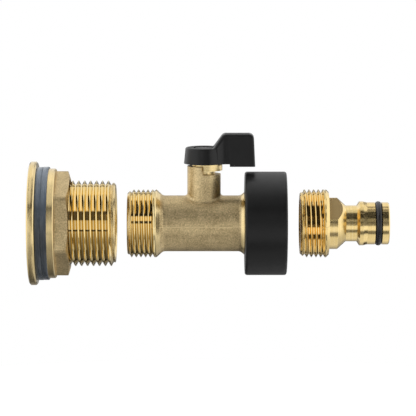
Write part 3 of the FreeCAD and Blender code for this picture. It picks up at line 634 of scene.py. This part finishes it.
class Finish(Sums):
    """A material, its shader and the textures that feed it."""

    def __init__(self, name, metallic=0.0):
        self.material = bpy.data.materials.new(name)
        self.material.use_nodes = True
        super().__init__(self.material.node_tree)
        self.shader = self.tree.nodes["Principled BSDF"]
        self.shader.inputs["Metallic"].default_value = metallic
        self.place = self.tree.nodes.new("ShaderNodeTexCoord").outputs["Object"]

    def axis(self, name):
        return self.node("ShaderNodeSeparateXYZ", self.place).outputs[name]

    def noise(self, lumps, detail=COARSE):
        """Fractal noise; lumps to the metre are one number, or one for each axis."""
        scale = lumps if isinstance(lumps, tuple) else (lumps, lumps, lumps)
        mapping = self.node("ShaderNodeMapping", self.place)
        mapping.inputs["Scale"].default_value = scale
        texture = self.node("ShaderNodeTexNoise", mapping.outputs[0])
        texture.inputs["Scale"].default_value = 1.0
        texture.inputs["Detail"].default_value = detail
        return texture.outputs[0]

    def spread(self, noise, low=0.0, high=1.0):
        """Stretches the middle of a noise over the range from low to high."""
        return self.node("ShaderNodeMapRange", noise, NOISE_LOW, NOISE_HIGH, low, high).outputs[0]

    def measure(self, operation, *other):
        item = self.node("ShaderNodeVectorMath", self.place, *other, operation=operation)
        return item.outputs["Value"]

    def along(self, start, end):
        """1 between two places along X and 0 elsewhere, with soft edges."""
        x = self.axis("X")
        begun = self.ramp(x, start - SOFT, start + SOFT)
        return self.multiply(begun, self.ramp(x, end + SOFT, end - SOFT))

    def paint(self, base, roughness, height=None, relief=0.0):
        """Feeds the shader; relief is the depth of the height texture, in metres."""
        self.feed(self.shader.inputs["Base Color"], base)
        self.feed(self.shader.inputs["Roughness"], roughness)
        if relief:
            bump = self.node("ShaderNodeBump")
            bump.inputs["Strength"].default_value = 1.0
            bump.inputs["Distance"].default_value = relief
            self.feed(bump.inputs["Height"], height)
            self.feed(self.shader.inputs["Normal"], bump.outputs[0])
        return self.material


def once(make):
    """Keeps a material after its first call, so that pieces share it."""
    def kept():
        name = f"tap_{make.__name__}"
        return bpy.data.materials.get(name) or make(name)
    return kept


def times(values, factor):
    return [value * factor for value in values]


def forging(finish):
    """Colour, roughness and height of shot-blasted brass."""
    colours = settings().finishes
    grain = finish.noise(FORGED_GRAINS, FINE)
    patches = finish.noise(FORGED_PATCHES)
    mottled = finish.add(
        finish.multiply(grain, GRAIN_SHARE), finish.multiply(patches, 1.0 - GRAIN_SHARE))
    base = finish.mix_colours(finish.spread(mottled), colours.forged_dark, colours.forged_light)
    return base, finish.spread(grain, *FORGED_ROUGHNESS), grain


def turning(finish, lumps, thread=0.0):
    """Colour, roughness and height of turned brass, whose tool marks stop at a thread."""
    colours = settings().finishes
    marks = finish.mix_values(thread, finish.noise(lumps), NOISE_MIDDLE)
    base = finish.mix_colours(finish.spread(marks), colours.turned_dark, colours.turned_light)
    base = finish.mix_colours(thread, base, colours.threaded)
    roughness = finish.mix_values(thread, finish.spread(marks, *TURNED_ROUGHNESS), THREAD_ROUGHNESS)
    return base, roughness, marks


@once
def turned_brass(name):
    """Turned about the tap's axis, with the tail's thread."""
    sizes = settings().tail
    finish = Finish(name, metallic=1.0)
    low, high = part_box("flanged_tail")
    thread = finish.along(low.x + sizes.flange_thick, high.x - sizes.end_bevel)
    base, roughness, marks = turning(finish, MARKS_ALONG_X, thread)
    return finish.paint(base, roughness, marks, TURNED_RELIEF)


@once
def satin_brass(name):
    """Turned about the stem and left with the tool's finish."""
    finish = Finish(name, metallic=1.0)
    base, roughness, marks = turning(finish, MARKS_ALONG_Z)
    return finish.paint(base, finish.add(roughness, SATIN_ROUGHER), marks, SATIN_RELIEF)


@once
def connector_brass(name):
    """Polished brass, with two milled spanner flats."""
    colours = settings().finishes
    sizes = settings().connector
    finish = Finish(name, metallic=1.0)
    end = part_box("hose_connector")[0].x
    thread = finish.along(end + settings().tail.end_bevel, end + sizes.thread_length)
    marks = finish.mix_values(thread, finish.noise(POLISHING_MARKS), NOISE_MIDDLE)
    polished = finish.mix_colours(finish.spread(marks), colours.polished_dark, colours.polished_light)
    smooth = finish.mix_values(thread, finish.spread(marks, *POLISHED_ROUGHNESS), THREAD_ROUGHNESS)

    across = Vector((0.0, -math.cos(sizes.flat_tilt), math.sin(sizes.flat_tilt)))
    flat_r = sizes.flats / 2
    out = finish.math("ABSOLUTE", finish.measure("DOT_PRODUCT", across))
    flat = finish.ramp(finish.math("ABSOLUTE", finish.subtract(out, flat_r)), FLAT_GONE, FLAT_FULL)
    hub = Vector((end + sizes.cutter_x, 0.0, 0.0)) + across * flat_r
    from_hub = finish.measure("DISTANCE", hub)
    arcs = finish.math("SINE", finish.multiply(from_hub, TURN / sizes.cutter_marks))
    pale = times(colours.milled, MILLED_PALE)
    milled = finish.mix_colours(finish.ramp(arcs, -1.0, 1.0), colours.milled, pale)

    base = finish.mix_colours(flat, polished, milled)
    roughness = finish.mix_values(flat, smooth, MILLED_ROUGHNESS)
    height = finish.mix_values(
        flat, finish.multiply(marks, POLISHED_MARKS), finish.multiply(arcs, MILLED_MARKS))
    return finish.paint(base, roughness, height, CONNECTOR_RELIEF)


def part_turned(name, stretches, thread=None, seam_width=0.0):
    """Forged brass, turned bright over stretches along X; it may have a thread and a seam."""
    finish = Finish(name, metallic=1.0)
    forged_base, forged_roughness, grain = forging(finish)
    if seam_width:
        half = seam_width / 2
        seam = finish.ramp(finish.math("ABSOLUTE", finish.axis("Z")), half, half * SEAM_FULL)
        bright = finish.multiply(seam, finish.ramp(finish.noise(SEAM_WEAR), *SEAM_BRIGHT))
        forged_base = finish.mix_colours(
            finish.multiply(bright, SEAM_SHINE), forged_base, settings().finishes.turned_light)
        grain = finish.add(grain, bright)
    in_thread = finish.along(*thread) if thread else 0.0
    turned_base, turned_roughness, marks = turning(finish, MARKS_ALONG_X, in_thread)
    turned = 0.0
    for start, end in stretches:
        turned = finish.math("MAXIMUM", turned, finish.along(start, end))
    base = finish.mix_colours(turned, forged_base, turned_base)
    roughness = finish.mix_values(turned, forged_roughness, turned_roughness)
    height = finish.mix_values(turned, grain, finish.multiply(marks, FORGING_MARKS))
    return finish.paint(base, roughness, height, FORGED_RELIEF)


def plain(kind):
    """A finish of one colour, kept after its first call."""
    name = f"tap_{kind}"
    return bpy.data.materials.get(name) or plain_finish(name, PLAIN_FINISHES[kind])


def plain_finish(name, kind):
    finish = Finish(name, kind.metallic)
    finish.shader.inputs["Specular IOR Level"].default_value = kind.specular
    tint = getattr(settings().finishes, kind.colour)
    grain = finish.noise(*kind.grain)
    shade = finish.noise(*kind.shade) if kind.shade else grain
    base = finish.mix_colours(finish.spread(shade), times(tint, kind.dark), times(tint, kind.pale))
    return finish.paint(base, finish.spread(grain, *kind.roughness), grain, kind.relief)


def dress(material, *nodes):
    """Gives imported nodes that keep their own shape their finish."""
    for node in nodes:
        cad[node].data.materials.clear()
        cad[node].data.materials.append(material)


# Operators, one for each piece or group of like pieces


# Each seal with its body, and where its waves start, in radians
SEALS = (("inner_seal", "tank_connector", 0.0), ("outer_seal", "clamp_seal", 2.1))


class TAP_OT_flanged_tail(bpy.types.Operator):
    """Turn the flanged tail with its male thread and its threaded socket."""

    bl_idname = "tap.flanged_tail"
    bl_label = "Flanged tail"

    def execute(self, context):
        sizes = context.scene.tap.tail
        form = context.scene.tap.threads
        valve = context.scene.tap.valve
        material = turned_brass()
        low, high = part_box("flanged_tail")
        face, end, rim_r = low.x, high.x, high.z
        seat = face + sizes.flange_thick
        thread_r = sizes.thread_d / 2
        bore_r = sizes.bore_d / 2
        socket_r = sizes.socket_d / 2
        floor = end - sizes.socket_depth
        bevel = sizes.flange_bevel
        angles = even_angles(form.columns)
        mesh = bmesh.new()
        lathe(mesh, rounded([
            (seat, thread_r),
            (seat, rim_r - bevel),
            (seat - bevel, rim_r),
            (face + bevel, rim_r),
            (face, rim_r - bevel),
            (face, bore_r),
            (floor, bore_r),
            (floor, socket_r),
        ], sizes.edge), angles)
        lathe(mesh, [(end, socket_r + sizes.mouth_bevel), (end, thread_r - sizes.end_bevel)], angles)
        mesh.from_mesh(cut_thread(
            end, -1.0, end - seat, thread_r, form.tail_pitch, form.tail_crest, material,
            bevel=sizes.end_bevel))
        mesh.from_mesh(cut_thread(
            end, -1.0, sizes.socket_depth, socket_r, form.hose_pitch,
            form.valve_crest - valve.draw_in, material, flare=sizes.mouth_bevel))
        finish_piece(
            mesh, "flanged_tail_turned", "tank_connector", material, "flanged_tail",
            TURNED_CRISP)
        return {"FINISHED"}


class TAP_OT_seals(bpy.types.Operator):
    """Cut the two flat rubber seals."""

    bl_idname = "tap.seals"
    bl_label = "Seals"

    def execute(self, context):
        for node, body, phase in SEALS:
            self.cut(context, node, body, phase)
        return {"FINISHED"}

    def cut(self, context, node, body, phase):
        sizes = context.scene.tap.seals
        low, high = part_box(node)
        hole_r = context.scene.tap.tail.thread_d / 2 + sizes.hole_gap
        rim_r = high.z - sizes.waviness
        middle_x = (low.x + high.x) / 2
        outline = [
            (middle_x, hole_r),
            (low.x, hole_r),
            (low.x, rim_r),
            (high.x, rim_r),
            (high.x, hole_r),
            (middle_x, hole_r),
        ]
        mesh = bmesh.new()
        lathe(mesh, rounded(outline, sizes.edge), even_angles(context.scene.tap.threads.columns))
        for vertex in mesh.verts:
            radius = radius_of(vertex)
            if radius > hole_r + sizes.edge:
                angle = angle_of(vertex) + phase
                long_wave = math.sin(sizes.long_waves * angle)
                short_wave = math.sin(sizes.short_waves * angle + phase)
                stray = sizes.waviness * (long_wave + short_wave) / 2
                vertex.co.yz *= (radius + stray) / radius
        finish_piece(mesh, f"{node}_cut", body, plain("seal_rubber"), node)


class TAP_OT_flange_nut(bpy.types.Operator):
    """Finish the flanged nut: turned flange, forged hexagon."""

    bl_idname = "tap.flange_nut"
    bl_label = "Flanged nut"

    def execute(self, context):
        sizes = context.scene.tap.nut
        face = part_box("flange_nut")[0].x
        turned = [(face - BEYOND, face + sizes.flange_thick)]
        dress(part_turned("nut_brass", turned), "flange_nut")
        return {"FINISHED"}


class TAP_OT_valve_body(bpy.types.Operator):
    """Cut the thread on the valve's inlet and finish the forging."""

    bl_idname = "tap.valve_body"
    bl_label = "Valve body"

    def execute(self, context):
        sizes = context.scene.tap.valve
        low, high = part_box("valve_body")
        end = low.x
        shoulder = end + sizes.thread_length
        turned = [
            (end - BEYOND, shoulder + sizes.shoulder_width),
            (high.x - sizes.rim_width, high.x + BEYOND),
        ]
        thread = (end + context.scene.tap.tail.end_bevel, shoulder)
        material = part_turned("valve_brass", turned, thread, sizes.parting)
        mesh = threaded_copy(
            "valve_body", end, shoulder, sizes.thread_d / 2, sizes.bore_d / 2,
            end + sizes.bore_depth, context.scene.tap.threads.valve_crest, material)
        finish_piece(mesh, "valve_body_threaded", "valve", material, "valve_body")
        return {"FINISHED"}


class TAP_OT_valve_inside(bpy.types.Operator):
    """Finish the ball, the seats, the stem and what turns with it."""

    bl_idname = "tap.valve_inside"
    bl_label = "Valve inside"

    def execute(self, context):
        dress(plain("ball_chrome"), "ball")
        dress(plain("white_plastic"), "inlet_seat", "outlet_seat", "thrust_washer")
        dress(turned_brass(), "outlet_tail")
        dress(satin_brass(), "stem", "stop_plate")
        dress(plain("ring_rubber"), "stem_o_ring_lower", "stem_o_ring_upper")
        return {"FINISHED"}


class TAP_OT_lever(bpy.types.Operator):
    """Finish the lever and its screw."""

    bl_idname = "tap.lever"
    bl_label = "Lever"

    def execute(self, context):
        dress(plain("black_plastic"), "lever_handle")
        dress(plain("screw_zinc"), "handle_screw")
        return {"FINISHED"}


class TAP_OT_collar(bpy.types.Operator):
    """Turn the swivel nut with its threaded socket, and finish the grip and the washer."""

    bl_idname = "tap.collar"
    bl_label = "Swivel collar"

    def execute(self, context):
        tail = context.scene.tap.tail
        sizes = context.scene.tap.collar
        form = context.scene.tap.threads
        material = turned_brass()
        low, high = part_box("swivel_nut")
        back, end, nut_r = low.x, high.x, high.z
        socket_r = tail.socket_d / 2
        lip_r = sizes.lip_d / 2
        lip_end = back + sizes.lip_thick
        crest = form.connector_crest - context.scene.tap.connector.draw_in
        angles = even_angles(form.columns)
        mesh = bmesh.new()
        lathe(mesh, rounded([
            (end - sizes.thread_length, socket_r),
            (lip_end, socket_r),
            (lip_end, lip_r),
            (back, lip_r),
            (back, nut_r),
            (end, nut_r),
            (end, socket_r + tail.mouth_bevel),
        ], tail.edge), angles)
        mesh.from_mesh(cut_thread(
            end, -1.0, sizes.thread_length, socket_r, form.hose_pitch, crest, material,
            flare=tail.mouth_bevel))
        finish_piece(
            mesh, "swivel_nut_turned", "collar", material, "swivel_nut",
            TURNED_CRISP)
        dress(plain("black_plastic"), "collar_grip")
        dress(plain("ring_rubber"), "hose_washer")
        return {"FINISHED"}


class TAP_OT_hose_connector(bpy.types.Operator):
    """Cut the thread on the hose connector, and finish it and its O-ring."""

    bl_idname = "tap.hose_connector"
    bl_label = "Hose connector"

    def execute(self, context):
        sizes = context.scene.tap.connector
        thread_r = context.scene.tap.valve.thread_d / 2
        crest = context.scene.tap.threads.connector_crest
        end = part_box("hose_connector")[0].x
        material = connector_brass()
        mesh = threaded_copy(
            "hose_connector", end, end + sizes.thread_length, thread_r, sizes.bore_d / 2,
            end + sizes.bore_depth, crest, material)
        finish_piece(
            mesh, "hose_connector_threaded", "connector", material, "hose_connector",
            TURNED_CRISP)
        dress(plain("ring_rubber"), "connector_o_ring")
        return {"FINISHED"}


# Stage, light and camera


# The floor fades to white between these shares of its radius
FLOOR_FADE = (0.45, 0.98)
# Its speckles to the metre, and their darkest and palest shade
FLOOR_SPECKLES = 60.0
FLOOR_SHADES = (0.97, 1.0)
FLOOR_ROUGHNESS = 0.8
# Its glow to the camera in the middle, which is 1 at the edge
FLOOR_GLOW = 0.5
FLOOR_STEPS = 96
BLACK = (0.0, 0.0, 0.0)
WHITE = (1.0, 1.0, 1.0)

# Brightness of the studio's cards by height above the horizon, in degrees, from the camera's side up
# and over: to the left, in the middle and to the right of the camera, and on the studio's sides
STUDIO = {
    "left": [
        (-180.0, 0.60), (-130.0, 0.10), (-85.0, 0.14), (-45.0, 0.30), (-17.0, 0.58), (-15.5, 0.05),
        (-12.0, 0.05), (-10.5, 0.90), (15.0, 0.85), (18.0, 0.10), (42.0, 0.12), (47.0, 1.32),
        (110.0, 1.32), (180.0, 0.95),
    ],
    "middle": [
        (-180.0, 0.15), (-125.0, 0.03), (-70.0, 0.45), (6.0, 0.95), (8.0, 0.05), (15.0, 0.05),
        (18.0, 1.20), (32.0, 1.20), (36.0, 0.02), (98.0, 0.03), (108.0, 1.15), (128.0, 1.10),
        (144.0, 0.25), (180.0, 0.15),
    ],
    "right": [
        (-180.0, 0.30), (-135.0, 0.50), (-105.0, 1.10), (-58.0, 1.05), (-50.0, 0.05), (-36.0, 0.05),
        (-30.0, 1.25), (-10.0, 1.25), (-4.0, 0.03), (74.0, 0.03), (84.0, 1.05), (140.0, 1.05),
        (180.0, 0.95),
    ],
    "sides": [
        (-180.0, 0.04), (-125.0, 0.03), (-90.0, 0.16), (-60.0, 0.60), (-20.0, 0.90), (26.0, 1.05),
        (36.0, 0.05), (98.0, 0.05), (112.0, 0.60), (150.0, 0.40), (180.0, 0.15),
    ],
}
# Where they pass into each other, as the sine of the angle sideways
LEFT_TO_MIDDLE = (-0.044, -0.032)
MIDDLE_TO_RIGHT = (0.030, 0.042)
NEAR_TO_FAR = (0.16, 0.18)
SIDES_TO_RIGHT = (0.28, 0.30)
SIDES_TO_LEFT = (-0.28, -0.30)
CARDS_TO_BOXES = (0.56, 0.60)
# The softboxes at both ends: height of their middle, how far off it they fade, and their levels
BOX_MIDDLE = 0.1
BOX_FADE = (0.75, 0.35)
BOX_DIM = 0.5
BOX_BRIGHT = 1.25
# Level of the light that isn't mirrored
SOFT_LIGHT = 0.105


class Lamp(NamedTuple):
    """A softbox; its place is measured from the point that the camera looks at."""

    name: str
    place: tuple
    width: float
    height: float


OVERHEAD_LAMP = Lamp("overhead_softbox", (-0.05, 0.04, 0.57), 0.5, 0.35)
LEFT_LAMP = Lamp("left_softbox", (-0.5, -0.35, 0.2), 0.3, 0.4)


def floor_material(stage):
    """Pale floor that fades into the white round it."""
    finish = Finish("pale_floor")
    across = finish.measure("LENGTH")
    edge = finish.ramp(across, *times(FLOOR_FADE, stage.floor_r))
    speckle = finish.spread(finish.noise(FLOOR_SPECKLES), *FLOOR_SHADES)
    base = finish.mix_colours(speckle, BLACK, stage.floor_colour)
    finish.paint(base, FLOOR_ROUGHNESS)
    finish.shader.inputs["Emission Color"].default_value = rgba(WHITE)
    seen = finish.node("ShaderNodeLightPath").outputs["Is Camera Ray"]
    glow = finish.add(finish.multiply(edge, 1.0 - FLOOR_GLOW), FLOOR_GLOW)
    finish.feed(finish.shader.inputs["Emission Strength"], finish.multiply(glow, seen))
    return finish.material


def grey(level):
    return times(WHITE, level)


def studio_bands(sums, share_of_turn, stops):
    """One pattern of cards, as a colour ramp over a whole turn about the X axis."""
    bands = sums.node("ShaderNodeValToRGB", share_of_turn)
    elements = bands.color_ramp.elements
    while len(elements) < len(stops):
        elements.new(0.5)
    for element, (degrees, brightness) in zip(elements, stops):
        element.position = degrees / 360.0 + 0.5
        element.color = rgba(grey(brightness))
    return bands.outputs[0]


def studio_world():
    """White to the camera; mirrored rays see cards and softboxes, and the rest a plain soft light."""
    world = bpy.data.worlds.new("studio")
    world.use_nodes = True
    tree = world.node_tree
    tree.nodes.clear()
    sums = Sums(tree)
    generated = tree.nodes.new("ShaderNodeTexCoord").outputs["Generated"]
    direction = sums.node("ShaderNodeSeparateXYZ", generated).outputs
    sideways = direction["X"]
    either_side = sums.math("ABSOLUTE", sideways)
    height = sums.math("ARCTAN2", direction["Z"], sums.multiply(direction["Y"], -1.0))
    share_of_turn = sums.add(sums.divide(height, TURN), 0.5)
    left, middle, right, sides = [studio_bands(sums, share_of_turn, stops) for stops in STUDIO.values()]

    near = sums.mix_colours(sums.ramp(sideways, *LEFT_TO_MIDDLE), left, middle)
    near = sums.mix_colours(sums.ramp(sideways, *MIDDLE_TO_RIGHT), near, right)
    far = sums.mix_colours(sums.ramp(sideways, *SIDES_TO_RIGHT), sides, right)
    far = sums.mix_colours(sums.ramp(sideways, *SIDES_TO_LEFT), far, left)
    cards = sums.mix_colours(sums.ramp(either_side, *NEAR_TO_FAR), near, far)
    off_middle = sums.math("ABSOLUTE", sums.subtract(direction["Z"], BOX_MIDDLE))
    boxes = sums.mix_colours(sums.ramp(off_middle, *BOX_FADE), grey(BOX_DIM), grey(BOX_BRIGHT))
    walls = sums.mix_colours(sums.ramp(either_side, *CARDS_TO_BOXES), cards, boxes)

    rays = tree.nodes.new("ShaderNodeLightPath").outputs
    mirrored = sums.math("MAXIMUM", rays["Is Glossy Ray"], rays["Is Transmission Ray"])
    lit = sums.mix_colours(mirrored, grey(SOFT_LIGHT), walls)
    seen = sums.mix_colours(rays["Is Camera Ray"], lit, WHITE)
    background = sums.node("ShaderNodeBackground", seen)
    sums.node("ShaderNodeOutputWorld", background.outputs[0])
    return world


def hang(lamp, target, energy):
    """Hangs a softbox so that it faces the target."""
    light = bpy.data.lights.new(lamp.name, "AREA")
    light.shape = "RECTANGLE"
    light.size = lamp.width
    light.size_y = lamp.height
    light.energy = energy
    away = Vector(lamp.place)
    softbox = bpy.data.objects.new(lamp.name, light)
    softbox.location = target + away
    softbox.rotation_euler = (-away).to_track_quat("-Z", "Y").to_euler()
    softbox.visible_glossy = False
    bpy.context.scene.collection.objects.link(softbox)


class TAP_OT_stage(bpy.types.Operator):
    """Set the floor, the light and the camera."""

    bl_idname = "tap.stage"
    bl_label = "Stage"

    def execute(self, context):
        stage = context.scene.tap.stage
        target = Vector((stage.target_x, 0.0, stage.target_z))
        self.lay_floor(context, stage)
        context.scene.world = studio_world()
        hang(OVERHEAD_LAMP, target, stage.key_power)
        hang(LEFT_LAMP, target, stage.fill_power)
        self.set_camera(context, stage, target)
        context.scene.view_settings.view_transform = "Standard"
        return {"FINISHED"}

    def lay_floor(self, context, stage):
        mesh = bmesh.new()
        bmesh.ops.create_circle(mesh, cap_ends=True, radius=stage.floor_r, segments=FLOOR_STEPS)
        bmesh.ops.translate(mesh, verts=mesh.verts, vec=(stage.target_x, 0.0, -stage.floor_drop))
        data = bpy.data.meshes.new("floor")
        mesh.to_mesh(data)
        mesh.free()
        data.materials.append(floor_material(stage))
        floor = bpy.data.objects.new("floor", data)
        floor.visible_glossy = False
        context.scene.collection.objects.link(floor)

    def set_camera(self, context, stage, target):
        data = bpy.data.cameras.new("camera")
        data.lens = data.sensor_width * stage.camera_distance / stage.view_width
        camera = bpy.data.objects.new("camera", data)
        back = Vector((0.0, -math.cos(stage.camera_tilt), math.sin(stage.camera_tilt)))
        camera.location = target + back * stage.camera_distance
        camera.rotation_euler = (-back).to_track_quat("-Z", "Y").to_euler()
        context.scene.collection.objects.link(camera)
        context.scene.camera = camera


class TAP_PT_pieces(bpy.types.Panel):
    """Lists the tap's pieces and its stage."""

    bl_idname = "TAP_PT_pieces"
    bl_label = "Water butt tap"
    bl_space_type = "VIEW_3D"
    bl_region_type = "UI"
    bl_category = "Tap"

    def draw(self, context):
        for operator in OPERATORS:
            self.layout.operator(operator.bl_idname)


SETTINGS = (
    ThreadSizes,
    TailSizes,
    NutSizes,
    ValveSizes,
    CollarSizes,
    ConnectorSizes,
    SealSizes,
    Finishes,
    StageSettings,
    TapSettings,
)
OPERATORS = (
    TAP_OT_flanged_tail,
    TAP_OT_seals,
    TAP_OT_flange_nut,
    TAP_OT_valve_body,
    TAP_OT_valve_inside,
    TAP_OT_lever,
    TAP_OT_collar,
    TAP_OT_hose_connector,
    TAP_OT_stage,
)
CLASSES = (*SETTINGS, *OPERATORS, TAP_PT_pieces)


def register():
    for item in CLASSES:
        bpy.utils.register_class(item)
    bpy.types.Scene.tap = PointerProperty(type=TapSettings)


def unregister():
    del bpy.types.Scene.tap
    for item in reversed(CLASSES):
        bpy.utils.unregister_class(item)


def main():
    register()
    bpy.ops.tap.flanged_tail()
    bpy.ops.tap.seals()
    bpy.ops.tap.flange_nut()
    bpy.ops.tap.valve_body()
    bpy.ops.tap.valve_inside()
    bpy.ops.tap.lever()
    bpy.ops.tap.collar()
    bpy.ops.tap.hose_connector()
    bpy.ops.tap.stage()


if __name__ == "__main__":
    main()
